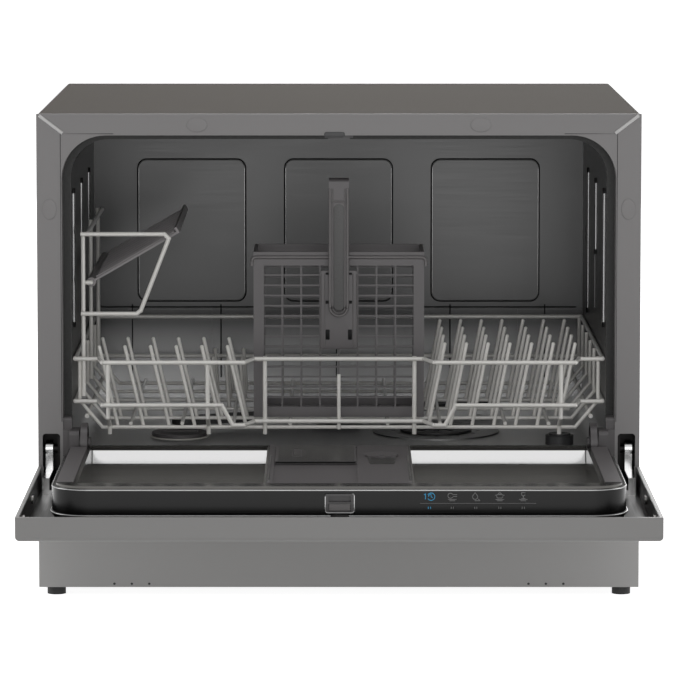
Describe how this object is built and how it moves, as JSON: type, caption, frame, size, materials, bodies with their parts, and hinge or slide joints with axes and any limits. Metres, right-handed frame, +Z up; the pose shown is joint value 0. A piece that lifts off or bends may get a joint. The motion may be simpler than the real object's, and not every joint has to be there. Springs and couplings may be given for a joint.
{
  "type": "countertop dishwasher",
  "caption": "Tabletop dishwasher with its door open, a wire plate rack, folding cup shelf, cutlery basket, spray arm and door-mounted controls.",
  "frame": {"origin": "centre of the footprint of the whole object with its door open, on the surface that it stands on", "axes": "+Z up, +Y from the open door to the back of the case, +X to the right seen from the front"},
  "size_m": [0.55, 0.77, 0.442],
  "materials": {
    "case_paint": "warm grey paint with a fine metallic grain",
    "frame_paint": "warm grey satin paint",
    "rear_sheet": "bare galvanised sheet",
    "stainless": "brushed stainless tub sheet",
    "strip": "dark brushed control strip",
    "rubber": "black rubber",
    "dark_plastic": "dark grey moulded plastic",
    "basket_plastic": "dark grey moulded plastic",
    "wire": "warm grey plastic coating over steel wire",
    "chassis_plastic": "black moulded plastic",
    "white_plastic": "off-white moulded plastic",
    "hose": "grey hose",
    "zinc": "zinc plated steel",
    "chrome": "bright plate",
    "circuit": "green circuit board with black parts"
  },
  "bodies": {
    "cabinet": {"cabinet_wrap": "case_paint", "front_frame": "frame_paint", "base_panel": "frame_paint", "base_tray": "chassis_plastic", "feet": "rubber", "rear_panel": "rear_sheet", "rear_screws": "zinc", "tub": "stainless", "door_gasket": "rubber", "sill_seal": "rubber", "latch_catch": "dark_plastic", "sump": "chassis_plastic", "fine_filter": "stainless", "wash_pump": "chassis_plastic", "circulation_pipe": "chassis_plastic", "water_heater": "zinc", "drain_pump": "chassis_plastic", "drain_hose": "hose", "drain_spigot": "hose", "softener": "white_plastic", "inlet_valve": "white_plastic", "inlet_hose": "hose", "air_break": "white_plastic", "power_board": "circuit", "mains_gland": "rubber", "hinge_bracket_left": "zinc", "hinge_bracket_right": "zinc", "door_spring_left": "zinc", "door_spring_right": "zinc", "roller_bracket_left": "dark_plastic", "roller_bracket_right": "dark_plastic", "spray_hub": "chassis_plastic"},
    "door": {"door_panel": "frame_paint", "door_liner": "stainless", "control_strip": "strip", "control_board": "circuit", "dispenser_body": "dark_plastic", "latch_housing": "dark_plastic", "rail_left": "dark_plastic", "rail_right": "dark_plastic", "hinge_arm_left": "zinc", "hinge_arm_right": "zinc", "door_screws": "zinc"},
    "latch": {"latch_tongue": "chrome"},
    "detergent_lid": {"detergent_lid": "dark_plastic"},
    "rinse_aid_cap": {"rinse_aid_cap": "dark_plastic"},
    "spray_arm": {"spray_arm": "chassis_plastic"},
    "coarse_filter": {"coarse_filter": "chassis_plastic"},
    "salt_cap": {"salt_cap": "white_plastic"},
    "float": {"float_dome": "chassis_plastic"},
    "roller_left": {"roller_left": "dark_plastic"},
    "roller_right": {"roller_right": "dark_plastic"},
    "rack": {"rack_frame": "wire", "rack_floor": "wire", "tines_left": "wire", "tines_right": "wire", "cup_frame": "wire"},
    "cup_shelf": {"cup_shelf": "basket_plastic"},
    "basket": {"cutlery_basket": "basket_plastic", "cutlery_handle": "basket_plastic"}
  },
  "joints": [
    {"name": "door_hinge", "type": "hinge", "parent": "cabinet", "child": "door", "pos_m": [0, -0.0775, 0.1335], "axis": [-1, 0, 0], "range_deg": [0, 90]},
    {"name": "rack_slide", "type": "slide", "parent": "cabinet", "child": "rack", "axis": [0, 1, 0], "range_m": [-0.28, 0]},
    {"name": "cup_shelf_fold", "type": "hinge", "parent": "rack", "child": "cup_shelf", "pos_m": [-0.22795, 0.075, 0.284], "axis": [0, -1, 0], "range_deg": [-30, 55]},
    {"name": "basket_lift", "type": "slide", "parent": "rack", "child": "basket", "axis": [0, 0, 1], "range_m": [0, 0.035]},
    {"name": "spray_arm_spin", "type": "hinge", "parent": "cabinet", "child": "spray_arm", "pos_m": [0, 0.125, 0.14], "axis": [0, 0, 1], "continuous": true},
    {"name": "filter_turn", "type": "hinge", "parent": "cabinet", "child": "coarse_filter", "pos_m": [0.092, 0.06, 0.131], "axis": [0, 0, 1], "range_deg": [0, 90]},
    {"name": "salt_cap_turn", "type": "hinge", "parent": "cabinet", "child": "salt_cap", "pos_m": [-0.15, 0.03, 0.132], "axis": [0, 0, 1], "continuous": true},
    {"name": "float_lift", "type": "slide", "parent": "cabinet", "child": "float", "axis": [0, 0, 1], "range_m": [0, 0.005]},
    {"name": "roller_left_spin", "type": "hinge", "parent": "cabinet", "child": "roller_left", "pos_m": [-0.234, -0.09, 0.14], "axis": [1, 0, 0], "continuous": true},
    {"name": "roller_right_spin", "type": "hinge", "parent": "cabinet", "child": "roller_right", "pos_m": [0.234, -0.09, 0.14], "axis": [1, 0, 0], "continuous": true},
    {"name": "latch_tongue_slide", "type": "slide", "parent": "door", "child": "latch", "axis": [0, -1, 0], "range_m": [0, 0.003], "stiffness_N_per_m": 400},
    {"name": "detergent_lid_slide", "type": "slide", "parent": "door", "child": "detergent_lid", "axis": [0, -1, 0], "range_m": [0, 0.075]},
    {"name": "rinse_cap_turn", "type": "hinge", "parent": "door", "child": "rinse_aid_cap", "pos_m": [0.038, -0.162, 0.139], "axis": [0, 0, 1], "range_deg": [0, 90]}
  ],
  "couplings": [
    {"joint": "roller_left_spin", "follows": "rack_slide", "rad_per_m": -51.813},
    {"joint": "roller_right_spin", "follows": "rack_slide", "rad_per_m": -51.813}
  ]
}
